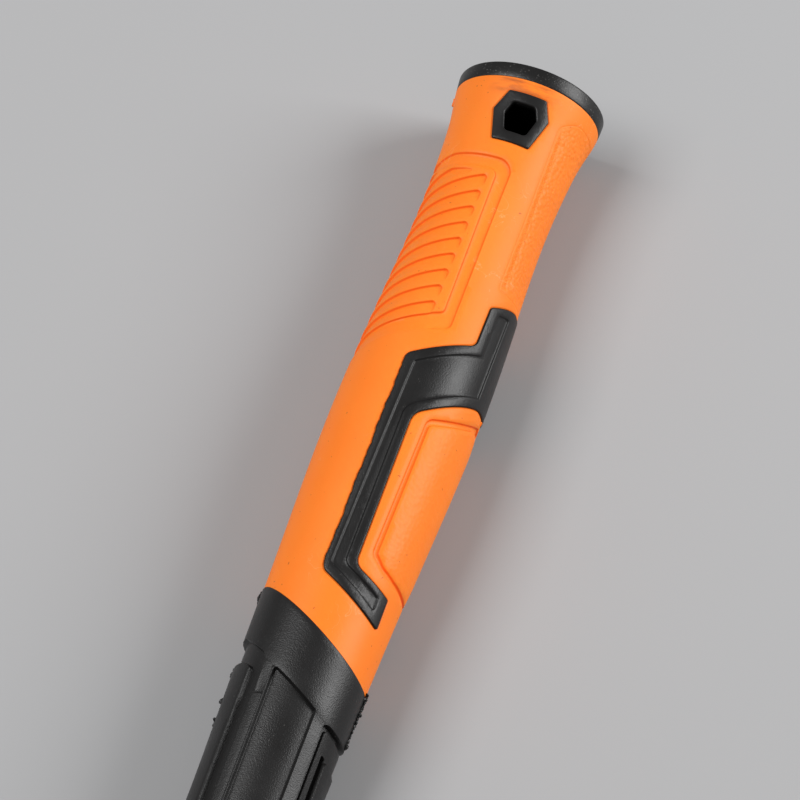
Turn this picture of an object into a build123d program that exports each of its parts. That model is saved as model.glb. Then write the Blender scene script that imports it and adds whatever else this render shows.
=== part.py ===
from build123d import *
import os

# A one-hand rescue bar of the halligan kind: a steel hexagon bar in a moulded two-colour
# handle, with a forged adze-and-pike head and a forged fork pinned on its far end.
#
# Millimetres. X runs along the bar from the butt face (x = 0) to the fork tips, the adze
# points to +Y and the pike to +Z. The origin is the middle of the butt face. The bar lies
# level on its side, on the cap's rim, the head block and the adze's lower edge.

# Lengths along the bar, from the butt to the fork tips
CAP_LENGTH = 4.4
GRIP_LENGTH = 164.9
JACKET_LENGTH = 264.0
GUARD_LENGTH = 14.0
SLEEVE_LENGTH = 24.0
BLOCK_LENGTH = 36.0
SOCKET_LENGTH = 26.0
TINE_LENGTH = 48.0

# Handle section: an oval, widest at the palm swell
SWELL_HALF_WIDTH = 18.25
SECTION_RATIO = 0.86
# Along the handle: distance from the butt, sideways drift of the middle, and how much
# wider than the swell the half-width is
HANDLE_PROFILE = [
    (0.0, 1.0, 1.7),
    (5.0, 1.1, 1.3),
    (12.0, 1.0, 0.1),
    (22.0, 0.8, -0.9),
    (36.0, 0.6, -1.5),
    (50.0, 0.5, -1.4),
    (72.0, 0.4, -0.6),
    (100.0, 0.1, 0.0),
    (125.0, -0.2, -0.6),
    (150.0, -0.4, -1.6),
    (180.0, -0.5, -2.5),
    (210.0, -0.4, -3.3),
    (235.0, -0.4, -3.4),
]
# The far end of the jacket, at JACKET_LENGTH
JACKET_END_DRIFT = -0.4
JACKET_END_SWELL = -3.4

# Moulded layers
GRIP_WALL = 2.6
COLLAR_PROUD = 0.5
INLAY_PROUD = 0.3
BEZEL_PROUD = 0.3
CAP_SPIGOT_DEPTH = 2.0
CAP_SPIGOT_WALL = 3.0
MOULD_CLEARANCE = 0.05

# Slant of the orange sleeve's end and of the jacket's collar, in x per y
END_SLOPE = 0.56
COLLAR_WIDTH = 15.9
PANEL_END_LAND = 14.0

# Steel bar and its fits
CORE_FLATS = 16.0
CORE_BEHIND_HOLE = 5.0
EYE_CLEARANCE = 0.1
PIN_DIAMETER = 6.0
PIN_WALL = 1.2
PIN_SLIT = 0.9
PIN_SINK = 0.5
# Each pin's share of the way along its sleeve or socket, and the axis it is driven along
HEAD_PINS = ((0.3, "Y"), (0.7, "Z"))
FORK_PINS = ((0.3, "Y"), (0.65, "Z"))

# Head and fork forgings
SLEEVE_RADIUS = 14.5
BLOCK_HALF_WIDTH = 15.0
BLOCK_CHAMFER = 2.5
STRIKE_BOSS = 7.0
STRIKE_INSET = 3.0
ADZE_REACH = 88.0
ADZE_ROOT = 18.0
ADZE_EDGE = 1.6
ADZE_HOOK = 7.0
ADZE_NECK = 13.0
PIKE_REACH = 92.0
PIKE_ROOT_RADIUS = 9.5
PIKE_TIP_RADIUS = 1.2
PIKE_HOOK = 7.0
# Sections along the pike as shares of its length, and how fast it thins between them
PIKE_SHARES = (0.0, 0.35, 0.7, 1.0)
PIKE_TAPER = 1.15
FORK_THICKNESS = 22.0
FORK_TIP_THICKNESS = 3.0
FORK_SWEEP = 3.0
FORK_GAP = 13.0
FORK_MOUTH = 17.0
TINE_TIP_WIDTH = 4.5
FORK_SHOULDER_RADIUS = 20.0
CROTCH_RADIUS = 6.0
SOCKET_FLOOR = 3.0
FORGE_RADIUS = 1.5

# Neck guard
GUARD_PROUD = 1.6
GUARD_ROUNDING = 3.0

# Hang hole: its six corners in plan, and the bezel's round it
HOLE_CORNERS = [(11.0, -0.9), (11.0, 5.1), (14.4, 6.4), (19.5, 5.0), (19.5, -0.6), (14.4, -2.1)]
BEZEL_CORNERS = [(8.1, -2.8), (8.1, 7.2), (13.4, 9.4), (22.6, 6.9), (22.6, -3.0), (13.8, -5.3)]
HOLE_ROUNDING = 1.2
BEZEL_ROUNDING = 0.5
LINER_WALL = 1.5

# Long enough to run through the handle in any direction
REACH = 40.0

# S-shaped inlay and the sunken field in it: corners in plan, x and y
INLAY_CORNERS = [
    (62.2, REACH), (64.2, 17.4), (68.4, 12.1), (80.4, 12.0), (89.6, -3.0), (150.8, -3.3),
    (159.4, 13.4), (151.2, 13.4), (147.2, 4.0), (104.9, 4.0), (94.2, 17.4), (91.6, REACH),
]
INLAY_ROUNDING = [0, 1.5, 1.2, 3.0, 2.5, 3.0, 0.4, 0.4, 3.0, 5.0, 1.5, 0]
FIELD_CORNERS = [
    (67.6, 16.5), (69.0, 14.2), (81.8, 14.0), (91.2, -0.3), (148.8, -1.6),
    (155.8, 11.3), (152.3, 11.3), (147.8, 1.5), (103.6, 1.6), (91.9, 16.5),
]
FIELD_ROUNDING = [0.3, 0.8, 1.2, 0.8, 1.5, 0.3, 0.5, 2.5, 5.0, 0.3]
FIELD_DEPTH = 0.5

# Rib pad: a channel round it, and slanted scoops across it
RIB_PAD_CORNERS = [(33.0, -REACH), (30.8, -14.0), (31.2, 1.8), (76.0, 1.8), (84.4, -14.0), (98.0, -REACH)]
RIB_PAD_ROUNDING = [0, 0, 2.0, 1.0, 3.0, 0]
CHANNEL_WIDTH = 3.3
CHANNEL_DEPTH = 0.7
RIB_COUNT = 9
RIB_PITCH = 4.98
RIB_START = 33.1
RIB_WIDTH = 2.0
RIB_DEPTH = 0.7
# One scoop's two sides, from its first corner: how far along at each y
RIB_NEAR_SIDE = [(19.0, -REACH), (6.8, -13.0), (1.6, -4.0), (0.0, -0.6)]
RIB_FAR_SIDE = [(0.0, -0.6), (1.4, -4.0), (6.6, -13.0), (18.8, -REACH)]

# Lower pad and the groove round it
LOWER_PAD_CORNERS = [(97.8, REACH), (99.2, 18.2), (106.8, 8.3), (143.6, 8.1), (146.6, 17.0), (147.5, REACH)]
LOWER_PAD_ROUNDING = [0, 0, 2.5, 2.0, 0, 0]
PAD_GROOVE_WIDTH = 1.0
PAD_GROOVE_DEPTH = 0.8

# Jacket past the collar: y of each panel's left and right side, and its depth
MIDDLE_PANEL = (-5.4, 7.3, 1.2)
LEFT_CHANNEL = (-11.2, -8.3, 1.0)
RIGHT_GROOVE = (9.9, 10.5, 0.8)
RIGHT_SLOT = (12.1, 12.9, 1.5)
# The left channel starts under the collar's end, the right slot this far past it
CHANNEL_LEAD = 4.0
SLOT_LAG = 12.6

HEAD_START = JACKET_LENGTH + GUARD_LENGTH
BLOCK_START = HEAD_START + SLEEVE_LENGTH
BLOCK_END = BLOCK_START + BLOCK_LENGTH
SOCKET_END = BLOCK_END + SOCKET_LENGTH
FORK_END = SOCKET_END + TINE_LENGTH
HEAD_X = (BLOCK_START + BLOCK_END) / 2
CORE_START = max(x for x, y in BEZEL_CORNERS) + CORE_BEHIND_HOLE
CORE_END = SOCKET_END - SOCKET_FLOOR
COLLAR_END = GRIP_LENGTH + COLLAR_WIDTH
PANEL_END = JACKET_LENGTH - PANEL_END_LAND
BUTT_HALF_WIDTH = SWELL_HALF_WIDTH + HANDLE_PROFILE[0][2]
REST_HALF_HEIGHT = SECTION_RATIO * BUTT_HALF_WIDTH


def skin(grow):
    """The handle's outer surface as a solid, moved outwards by grow (inwards if negative)."""
    stations = [s for s in HANDLE_PROFILE if s[0] < PANEL_END]
    stations.append((JACKET_LENGTH, JACKET_END_DRIFT, JACKET_END_SWELL))
    ovals = []
    for x, drift, swell in stations:
        half_width = SWELL_HALF_WIDTH + swell
        place = Plane(origin=(x, drift, 0), x_dir=(0, 1, 0), z_dir=(1, 0, 0))
        ovals.append(place * Ellipse(half_width + grow, SECTION_RATIO * half_width + grow))
    return loft(ovals)


def prism(corners, radii=0.0):
    """A plan outline with rounded corners, run right through the handle along Z."""
    outline = FilletPolyline(*corners, radius=radii, close=True)
    return extrude(make_face(outline), REACH, both=True)


def stretch(start, end):
    """A block that holds everything between two distances from the butt."""
    return Pos((start + end) / 2, 0, 0) * Box(end - start, 4 * REACH, 4 * REACH)


def past_slant(x):
    """Everything on the fork's side of the slanted plane that crosses the axis at x."""
    near = x - END_SLOPE * REACH
    far = x + END_SLOPE * REACH
    return prism([(near, -REACH), (FORK_END, -REACH), (FORK_END, REACH), (far, REACH)])


def slant(x, y):
    """A plan point at y on the slanted line that crosses the axis at x."""
    return (x + END_SLOPE * y, y)


def hexagon(flats, start, end):
    """A hexagon bar along X with flats up and down."""
    face = Plane.YZ.offset(start) * RegularPolygon(flats / 2, 6, major_radius=False)
    return extrude(face, end - start)


def rod(x, radius, axis, half_length):
    """A rod across the bar at x, along Y or Z."""
    turn = Rot(90, 0, 0) if axis == "Y" else Rot(0, 0, 0)
    return Pos(x, 0, 0) * turn * Cylinder(radius, 2 * half_length)


def roll_pin(x, axis, half_length):
    """A slit spring pin across the bar at x, driven just below the surface."""
    length = half_length - PIN_SINK
    tube = rod(x, PIN_DIAMETER / 2, axis, length)
    tube -= rod(x, PIN_DIAMETER / 2 - PIN_WALL, axis, length)
    slit = Box(PIN_DIAMETER, PIN_SLIT, 2 * length)
    if axis == "Y":
        slit = Box(PIN_DIAMETER, 2 * length, PIN_SLIT)
    return tube - Pos(x + PIN_DIAMETER / 2, 0, 0) * slit


outer = skin(0)
carcass = skin(-GRIP_WALL)

# Steel bar
core_bar = hexagon(CORE_FLATS, CORE_START, CORE_END)

# Butt cap: end of the flare, with a spigot let into the jacket's end
spigot_half_width = BUTT_HALF_WIDTH - GRIP_WALL - CAP_SPIGOT_WALL
spigot_half_height = REST_HALF_HEIGHT - GRIP_WALL - CAP_SPIGOT_WALL
spigot_place = Plane(origin=(CAP_LENGTH, HANDLE_PROFILE[0][1], 0), x_dir=(0, 1, 0), z_dir=(1, 0, 0))
butt_cap = outer & stretch(0, CAP_LENGTH)
butt_cap += extrude(spigot_place * Ellipse(spigot_half_width, spigot_half_height), CAP_SPIGOT_DEPTH)
spigot_pocket = extrude(
    spigot_place * Ellipse(spigot_half_width + MOULD_CLEARANCE, spigot_half_height + MOULD_CLEARANCE),
    CAP_SPIGOT_DEPTH + MOULD_CLEARANCE,
)

# Hang-hole liner: a bezel as deep as the soft layer on each face, and a tube through the jacket
hole = prism(HOLE_CORNERS, HOLE_ROUNDING)
bezel = prism(BEZEL_CORNERS, BEZEL_ROUNDING)
hole_face = make_face(FilletPolyline(*HOLE_CORNERS, radius=HOLE_ROUNDING, close=True))
liner_tube = extrude(offset(hole_face, LINER_WALL), REACH, both=True)
hang_liner = (bezel & skin(BEZEL_PROUD)) - (carcass - liner_tube) - hole

# S-shaped inlay: one band over the handle's edge, with an arm on each face
inlay_outline = prism(INLAY_CORNERS, INLAY_ROUNDING)
grip_inlay = (inlay_outline & skin(INLAY_PROUD)) - carcass
grip_inlay -= prism(FIELD_CORNERS, FIELD_ROUNDING) - skin(INLAY_PROUD - FIELD_DEPTH)

# Orange sleeve with its moulded grooves
grooves = []
rib_pad = make_face(FilletPolyline(*RIB_PAD_CORNERS, radius=RIB_PAD_ROUNDING, close=True))
channel = extrude(offset(rib_pad, CHANNEL_WIDTH) - rib_pad, REACH, both=True)
grooves.append(channel - skin(-CHANNEL_DEPTH))
lower_pad = make_face(FilletPolyline(*LOWER_PAD_CORNERS, radius=LOWER_PAD_ROUNDING, close=True))
pad_groove = extrude(offset(lower_pad, PAD_GROOVE_WIDTH) - lower_pad, REACH, both=True)
grooves.append(pad_groove - skin(-PAD_GROOVE_DEPTH))
rib_floor = skin(-RIB_DEPTH)
for k in range(RIB_COUNT):
    x = RIB_START + k * RIB_PITCH
    near_side = [(x + along, y) for along, y in RIB_NEAR_SIDE]
    far_side = [(x + RIB_WIDTH + along, y) for along, y in RIB_FAR_SIDE]
    grooves.append(prism(near_side + far_side) - rib_floor)

grip_shell = (outer - carcass) & stretch(CAP_LENGTH, FORK_END)
grip_shell -= past_slant(GRIP_LENGTH)
grip_shell -= inlay_outline
grip_shell -= bezel
for groove in grooves:
    grip_shell -= groove

# Jacket: carries the sleeve on its thinner part, and its own panels past the slanted collar
collar = (skin(COLLAR_PROUD) & past_slant(GRIP_LENGTH)) - past_slant(COLLAR_END)
shaft_jacket = carcass + (outer & past_slant(GRIP_LENGTH)) + collar
shaft_jacket &= stretch(CAP_LENGTH, JACKET_LENGTH)
sunken_panels = []
for left, right, depth in (MIDDLE_PANEL, RIGHT_GROOVE):
    near = [slant(COLLAR_END, left), slant(COLLAR_END, right)]
    sunken_panels.append((near + [slant(PANEL_END, right), slant(PANEL_END, left)], depth))
straight_panels = ((COLLAR_END - CHANNEL_LEAD, LEFT_CHANNEL), (COLLAR_END + SLOT_LAG, RIGHT_SLOT))
for start, (left, right, depth) in straight_panels:
    sunken_panels.append(([(start, left), (start, right), (PANEL_END, right), (PANEL_END, left)], depth))
for corners, depth in sunken_panels:
    shaft_jacket -= prism(corners) - skin(-depth)
core_pocket = hexagon(CORE_FLATS, CORE_START, FORK_END)
shaft_jacket -= core_pocket
shaft_jacket -= liner_tube
shaft_jacket -= spigot_pocket

# Neck guard: soft ring between the jacket and the head, as thick as the jacket and a lip
end_half_width = SWELL_HALF_WIDTH + JACKET_END_SWELL
guard_place = Plane(origin=(JACKET_LENGTH, JACKET_END_DRIFT, 0), x_dir=(0, 1, 0), z_dir=(1, 0, 0))
guard_oval = Ellipse(end_half_width + GUARD_PROUD, SECTION_RATIO * end_half_width + GUARD_PROUD)
neck_guard = extrude(guard_place * guard_oval, GUARD_LENGTH)
neck_guard = fillet(neck_guard.edges(), GUARD_ROUNDING)
neck_guard -= core_pocket

# Head forging: sleeve, block, adze, pike and strike boss
eye = hexagon(CORE_FLATS + 2 * EYE_CLEARANCE, HEAD_START, FORK_END)
sleeve = Rot(0, 90, 0) * Cylinder(SLEEVE_RADIUS, SLEEVE_LENGTH)
sleeve = Pos((HEAD_START + BLOCK_START) / 2, 0, 0) * sleeve
block = Pos(HEAD_X, 0, 0) * Box(BLOCK_LENGTH, 2 * BLOCK_HALF_WIDTH, 2 * REST_HALF_HEIGHT)
block = chamfer(block.edges(), BLOCK_CHAMFER)
boss_side = 2 * (REST_HALF_HEIGHT - STRIKE_INSET)
boss_mid = -BLOCK_HALF_WIDTH - STRIKE_BOSS / 2
boss = Pos(HEAD_X, boss_mid, 0) * Box(BLOCK_LENGTH - 2 * STRIKE_INSET, STRIKE_BOSS, boss_side)
boss = chamfer(boss.faces().sort_by(Axis.Y)[0].edges(), FORGE_RADIUS)

adze_root = BLOCK_HALF_WIDTH - BLOCK_CHAMFER
adze_mid = (adze_root + ADZE_REACH) / 2
adze_edge_x = HEAD_X - ADZE_HOOK
front_root = (HEAD_X + ADZE_ROOT / 2, adze_root)
back_root = (HEAD_X - ADZE_ROOT / 2, adze_root)
front_edge = (adze_edge_x + ADZE_EDGE, ADZE_REACH)
back_edge = (adze_edge_x, ADZE_REACH)
adze_side = make_face([
    ThreePointArc(front_root, (HEAD_X + ADZE_ROOT / 4, adze_mid), front_edge),
    Line(front_edge, back_edge),
    ThreePointArc(back_edge, (HEAD_X - ADZE_ROOT / 4, adze_mid), back_root),
    Line(back_root, front_root),
])
adze = extrude(adze_side, REST_HALF_HEIGHT, both=True)
adze_face = make_face([
    ThreePointArc((adze_root, REST_HALF_HEIGHT), (adze_mid, ADZE_NECK), (ADZE_REACH, REST_HALF_HEIGHT)),
    Line((ADZE_REACH, REST_HALF_HEIGHT), (ADZE_REACH, -REST_HALF_HEIGHT)),
    ThreePointArc((ADZE_REACH, -REST_HALF_HEIGHT), (adze_mid, -ADZE_NECK), (adze_root, -REST_HALF_HEIGHT)),
    Line((adze_root, -REST_HALF_HEIGHT), (adze_root, REST_HALF_HEIGHT)),
])
adze_plan = extrude(Plane.YZ.offset(HEAD_X) * adze_face, BLOCK_LENGTH, both=True)
adze = adze & adze_plan

pike_root = REST_HALF_HEIGHT - BLOCK_CHAMFER
pike_rounds = []
for share in PIKE_SHARES:
    radius = PIKE_ROOT_RADIUS + (PIKE_TIP_RADIUS - PIKE_ROOT_RADIUS) * share ** PIKE_TAPER
    height = pike_root + (PIKE_REACH - pike_root) * share
    pike_rounds.append(Pos(HEAD_X - PIKE_HOOK * share ** 2, 0, height) * Circle(radius))
pike = loft(pike_rounds)

adze_pike_head = sleeve + block + boss + adze + pike - eye
head_pin_places = [(HEAD_START + SLEEVE_LENGTH * share, axis) for share, axis in HEAD_PINS]

# Fork: socket for the bar, and two tines that thin and sweep to their tips
tip_low = FORK_SWEEP - FORK_TIP_THICKNESS / 2
tip_high = FORK_SWEEP + FORK_TIP_THICKNESS / 2
fork_side = make_face(Polyline(
    (BLOCK_END, -FORK_THICKNESS / 2), (SOCKET_END, -FORK_THICKNESS / 2), (FORK_END, tip_low),
    (FORK_END, tip_high), (SOCKET_END, FORK_THICKNESS / 2), (BLOCK_END, FORK_THICKNESS / 2),
    close=True,
))
tine_side = extrude(fork_side, REST_HALF_HEIGHT, both=True)
crotch = SOCKET_END + FORK_GAP / 2
tip_outer = FORK_MOUTH / 2 + TINE_TIP_WIDTH
beyond = FORK_END + REACH
gap = make_face(FilletPolyline(
    (crotch, -FORK_GAP / 2), (crotch, FORK_GAP / 2), (FORK_END, FORK_MOUTH / 2),
    (beyond, FORK_MOUTH / 2), (beyond, -FORK_MOUTH / 2), (FORK_END, -FORK_MOUTH / 2),
    radius=[CROTCH_RADIUS, CROTCH_RADIUS, 0, 0, 0, 0], close=True,
))
fork_front = make_face(FilletPolyline(
    (BLOCK_END, REST_HALF_HEIGHT), (SOCKET_END, REST_HALF_HEIGHT), (FORK_END, tip_outer),
    (FORK_END, -tip_outer), (SOCKET_END, -REST_HALF_HEIGHT), (BLOCK_END, -REST_HALF_HEIGHT),
    radius=[0, FORK_SHOULDER_RADIUS, 0, 0, FORK_SHOULDER_RADIUS, 0], close=True,
))
fork = tine_side & extrude(Plane.XZ * (fork_front - gap), FORK_THICKNESS, both=True)
fork -= hexagon(CORE_FLATS + 2 * EYE_CLEARANCE, BLOCK_END, CORE_END + EYE_CLEARANCE)
fork_pin_places = [(BLOCK_END + SOCKET_LENGTH * share, axis) for share, axis in FORK_PINS]

# Roll pins, and their holes through forging and bar
FORK_SIDE = {"Y": FORK_THICKNESS / 2, "Z": REST_HALF_HEIGHT}
head_pins = []
for x, axis in head_pin_places:
    hole_rod = rod(x, PIN_DIAMETER / 2, axis, REACH)
    adze_pike_head -= hole_rod
    core_bar -= hole_rod
    head_pins.append(roll_pin(x, axis, SLEEVE_RADIUS))
fork_pins = []
for x, axis in fork_pin_places:
    hole_rod = rod(x, PIN_DIAMETER / 2, axis, REACH)
    fork -= hole_rod
    core_bar -= hole_rod
    fork_pins.append(roll_pin(x, axis, FORK_SIDE[axis]))

NODES = {
    "core_bar": core_bar,
    "shaft_jacket": shaft_jacket,
    "grip_shell": grip_shell,
    "grip_inlay": grip_inlay,
    "hang_liner": hang_liner,
    "butt_cap": butt_cap,
    "neck_guard": neck_guard,
    "adze_pike_head": adze_pike_head,
    "fork": fork,
    "head_pins": Compound(head_pins),
    "fork_pins": Compound(fork_pins),
}
os.makedirs("parts", exist_ok=True)
for name, shape in NODES.items():
    export_step(shape, f"parts/{name}.step")
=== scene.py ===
import bmesh
import bpy
import numpy as np
from math import acos, atan2, ceil, cos, pi, radians, sin, tan
from mathutils import Matrix, Vector
from mathutils.geometry import delaunay_2d_cdt
from mathutils.kdtree import KDTree


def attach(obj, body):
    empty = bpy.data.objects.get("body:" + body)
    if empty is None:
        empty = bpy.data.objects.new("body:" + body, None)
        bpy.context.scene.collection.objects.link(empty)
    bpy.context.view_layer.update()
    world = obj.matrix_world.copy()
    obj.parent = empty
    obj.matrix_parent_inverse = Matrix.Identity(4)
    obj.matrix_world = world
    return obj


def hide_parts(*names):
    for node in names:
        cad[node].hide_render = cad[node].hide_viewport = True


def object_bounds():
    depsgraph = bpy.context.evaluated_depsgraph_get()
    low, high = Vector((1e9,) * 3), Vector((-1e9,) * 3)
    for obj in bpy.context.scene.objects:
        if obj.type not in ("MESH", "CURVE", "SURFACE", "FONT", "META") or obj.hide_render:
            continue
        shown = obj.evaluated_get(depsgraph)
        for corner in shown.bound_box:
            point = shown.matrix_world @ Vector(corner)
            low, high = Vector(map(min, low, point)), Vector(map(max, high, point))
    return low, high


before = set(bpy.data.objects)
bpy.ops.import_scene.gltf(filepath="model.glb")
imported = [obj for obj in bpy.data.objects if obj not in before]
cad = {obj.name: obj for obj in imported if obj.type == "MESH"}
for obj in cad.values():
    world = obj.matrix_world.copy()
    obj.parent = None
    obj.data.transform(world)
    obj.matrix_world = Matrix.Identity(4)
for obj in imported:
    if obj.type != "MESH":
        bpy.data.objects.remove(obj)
cad_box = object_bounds()
MM = 0.001

# ------------------------------------ camera
# A long lens above the grip, a little to the fork's side, so that the butt end of the
# bar fills the view and the head runs out of it at the bottom left.
def placed(name, data):
    """A new object of data, in the scene."""
    thing = bpy.data.objects.new(name, data)
    bpy.context.scene.collection.objects.link(thing)
    return thing


TARGET = Vector((94.86, -2.84, 0.0)) * MM
ELEVATION = radians(62.0)
SIDE_TURN = radians(19.016)
DISTANCE = 0.8
FOCAL_LENGTH = 144.0
SENSOR_WIDTH = 36.0
back = Vector((cos(SIDE_TURN) * cos(ELEVATION), sin(SIDE_TURN) * cos(ELEVATION), sin(ELEVATION)))
right = Vector((-sin(SIDE_TURN), cos(SIDE_TURN), 0))
up = back.cross(right)
lens = bpy.data.cameras.new("studio_camera")
lens.sensor_width, lens.lens = SENSOR_WIDTH, FOCAL_LENGTH
lens.clip_end = 20.0
camera = placed("studio_camera", lens)
facing = Matrix((right, up, back)).transposed().to_4x4()
camera.matrix_world = Matrix.Translation(TARGET + back * DISTANCE) @ facing
bpy.context.scene.camera = camera
bpy.context.scene.view_settings.view_transform = "Standard"


# ------------------------------------ studio
# A plain pale sweep under the bar, one large soft light low behind the adze's side, a second
# high in front of the other side, and an even grey room.
def linear(hex_colour):
    """An sRGB hex colour as linear RGBA."""
    parts = [int(hex_colour[i:i + 2], 16) / 255 for i in (1, 3, 5)]
    return tuple(c / 12.92 if c <= 0.04045 else ((c + 0.055) / 1.055) ** 2.4 for c in parts) + (1.0,)


def set_inputs(node, values):
    """Sets each named or numbered input of a node, or links it to a socket or a node's first output."""
    for key, value in values.items():
        if isinstance(value, bpy.types.Node):
            value = value.outputs[0]
        if isinstance(value, bpy.types.NodeSocket):
            node.id_data.links.new(value, node.inputs[key])
        else:
            node.inputs[key].default_value = value


def add_node(tree, kind, values=None, **settings):
    """A node with its settings and the values of its inputs."""
    node = tree.nodes.new(kind)
    for key, value in settings.items():
        setattr(node, key, value)
    set_inputs(node, values or {})
    return node


def new_material(name):
    """A material with its principled shader, ready for nodes."""
    material = bpy.data.materials.new(name)
    material.use_nodes = True
    return material, material.node_tree, material.node_tree.nodes["Principled BSDF"]


FLOOR_GREY = "#A6A6A7"
FLOOR_HALF = 4.0
FLOOR_DROP = 0.0001
floor_level = cad_box[0][2] - FLOOR_DROP
floor_mesh = bpy.data.meshes.new("sweep")
corner_signs = ((-1, -1), (1, -1), (1, 1), (-1, 1))
floor_corners = [(x * FLOOR_HALF, y * FLOOR_HALF, floor_level) for x, y in corner_signs]
floor_mesh.from_pydata(floor_corners, [], [(0, 1, 2, 3)])
floor = placed("sweep", floor_mesh)
floor_material, tree, shader = new_material("matt_paper_sweep")
set_inputs(shader, {"Base Color": linear(FLOOR_GREY), "Roughness": 0.9, "Specular IOR Level": 0.1})
floor_mesh.materials.append(floor_material)


def soft_light(name, place, aim, size, power, colour="#FFFFFF"):
    """A square area light at place that faces aim."""
    lamp = bpy.data.lights.new(name, "AREA")
    lamp.shape = "RECTANGLE"
    lamp.size, lamp.size_y = size
    lamp.energy = power
    lamp.color = linear(colour)[:3]
    holder = placed(name, lamp)
    holder.location = place
    holder.rotation_euler = (Vector(aim) - Vector(place)).to_track_quat("-Z", "Y").to_euler()


ROOM_GREY = "#E6E6E6"
ROOM_LIGHT = 0.32
MIDDLE = (0.12, 0.0, 0.0)
soft_light("key_softbox", (-0.5, 1.08, 0.76), MIDDLE, (0.8, 0.7), 19.0)
soft_light("front_softbox", (0.29, -0.9, 1.39), MIDDLE, (0.9, 0.9), 21.0)
room = bpy.data.worlds.new("grey_room")
room.use_nodes = True
set_inputs(room.node_tree.nodes["Background"], {"Color": linear(ROOM_GREY), "Strength": ROOM_LIGHT})
bpy.context.scene.world = room


# ------------------------------------ shaft jacket
# Black polypropylene moulded round the steel bar. It carries the orange sleeve on its
# thinner part, and past a slanted collar its own sunken panels, rails and grooves show.
# Stations of the handle's oval: distance from the butt, sideways drift, half-width (mm)
STATIONS = np.array([
    (0, 1.0, 19.95), (5, 1.1, 19.55), (12, 1.0, 18.35), (22, 0.8, 17.35), (36, 0.6, 16.75),
    (50, 0.5, 16.85), (72, 0.4, 17.65), (100, 0.1, 18.25), (125, -0.2, 17.65), (150, -0.4, 16.65),
    (180, -0.5, 15.75), (210, -0.4, 14.95), (235, -0.4, 14.85), (264, -0.4, 14.85),
], float)
SECTION_RATIO = 0.86
CAP_LENGTH = 4.4
GRIP_LENGTH = 164.9
JACKET_LENGTH = 264.0
GRIP_WALL = 2.6
END_SLOPE = 0.56
COLLAR_END = 180.8
PANEL_END = 250.0
# The skin is drawn flat: along is the distance from the butt, around the distance from the
# top line, on an even girth radius
GIRTH = 17.0
SIDE = GIRTH * pi / 2
# Further out than the handle's side, in plan and in the flat drawing
WIDE = 30


def natural_spline(knots, values):
    """A smooth curve through knots, as a function."""
    gap = np.diff(knots)
    slope = np.diff(values) / gap
    size = len(knots)
    matrix = np.eye(size)
    target = np.zeros(size)
    for i in range(1, size - 1):
        matrix[i, i - 1:i + 2] = gap[i - 1], 2 * (gap[i - 1] + gap[i]), gap[i]
        target[i] = 6 * (slope[i] - slope[i - 1])
    bend = np.linalg.solve(matrix, target)

    def curve(x):
        x = np.clip(x, knots[0], knots[-1])
        i = np.clip(np.searchsorted(knots, x) - 1, 0, size - 2)
        a, b = (knots[i + 1] - x) / gap[i], (x - knots[i]) / gap[i]
        return (a * values[i] + b * values[i + 1]
                + ((a ** 3 - a) * bend[i] + (b ** 3 - b) * bend[i + 1]) * gap[i] ** 2 / 6)
    return curve


drift = natural_spline(STATIONS[:, 0], STATIONS[:, 1])
half_width = natural_spline(STATIONS[:, 0], STATIONS[:, 2])


def on_skin(flat, lift):
    """Points of the flat drawing on the upper half of the handle, lift mm off its skin."""
    along, angle = flat[:, 0], flat[:, 1] / GIRTH
    wide = half_width(along)
    high = SECTION_RATIO * wide
    normal = np.stack([high * np.sin(angle), wide * np.cos(angle)], 1)
    normal /= np.linalg.norm(normal, axis=1, keepdims=True)
    y = drift(along) + wide * np.sin(angle) + lift * normal[:, 0]
    z = high * np.cos(angle) + lift * normal[:, 1]
    return np.stack([along, y, z], 1)


def flatten(plan):
    """Plan points (x, y) seen from above, moved to the flat drawing; past the edge they run on."""
    plan = np.asarray(plan, float)
    share = (plan[:, 1] - drift(plan[:, 0])) / half_width(plan[:, 0])
    around = GIRTH * np.arcsin(np.clip(share, -1, 1))
    overrun = np.clip(np.abs(share) - 1, 0, None) * GIRTH
    return np.stack([plan[:, 0], around + np.sign(share) * overrun], 1)


def outline(corners, rounding=0.0, step=0.45, closed=True, plan=True):
    """A line through corners with rounded turns, as points a step apart in the flat drawing."""
    corners = np.asarray(corners, float)
    count = len(corners)
    rounding = [rounding] * count if np.isscalar(rounding) else rounding
    path = []
    for i, here in enumerate(corners):
        if not rounding[i] or (not closed and i in (0, count - 1)):
            path.append(here)
            continue
        before, after = corners[i - 1] - here, corners[(i + 1) % count] - here
        reach = min(np.linalg.norm(before), np.linalg.norm(after)) * 0.49
        before, after = before / np.linalg.norm(before), after / np.linalg.norm(after)
        half_turn = acos(np.clip(before @ after, -1, 1)) / 2
        cut = min(rounding[i] / tan(half_turn), reach)
        radius = cut * tan(half_turn)
        middle = here + (before + after) / np.linalg.norm(before + after) * radius / sin(half_turn)
        first, last = here + before * cut - middle, here + after * cut - middle
        start = atan2(first[1], first[0])
        sweep = (atan2(last[1], last[0]) - start + pi) % (2 * pi) - pi
        for share in np.linspace(0, 1, max(4, ceil(abs(sweep) * radius / (0.6 * step)))):
            angle = start + sweep * share
            path.append(middle + radius * np.array([cos(angle), sin(angle)]))
    if closed:
        path.append(path[0])
    dense = []
    for a, b in zip(path[:-1], path[1:]):
        parts = max(1, ceil(np.linalg.norm(b - a) / step))
        dense += [a + (b - a) * k / parts for k in range(parts)]
    if not closed:
        dense.append(path[-1])
    dense = np.array(dense)
    return flatten(dense) if plan else dense


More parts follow.
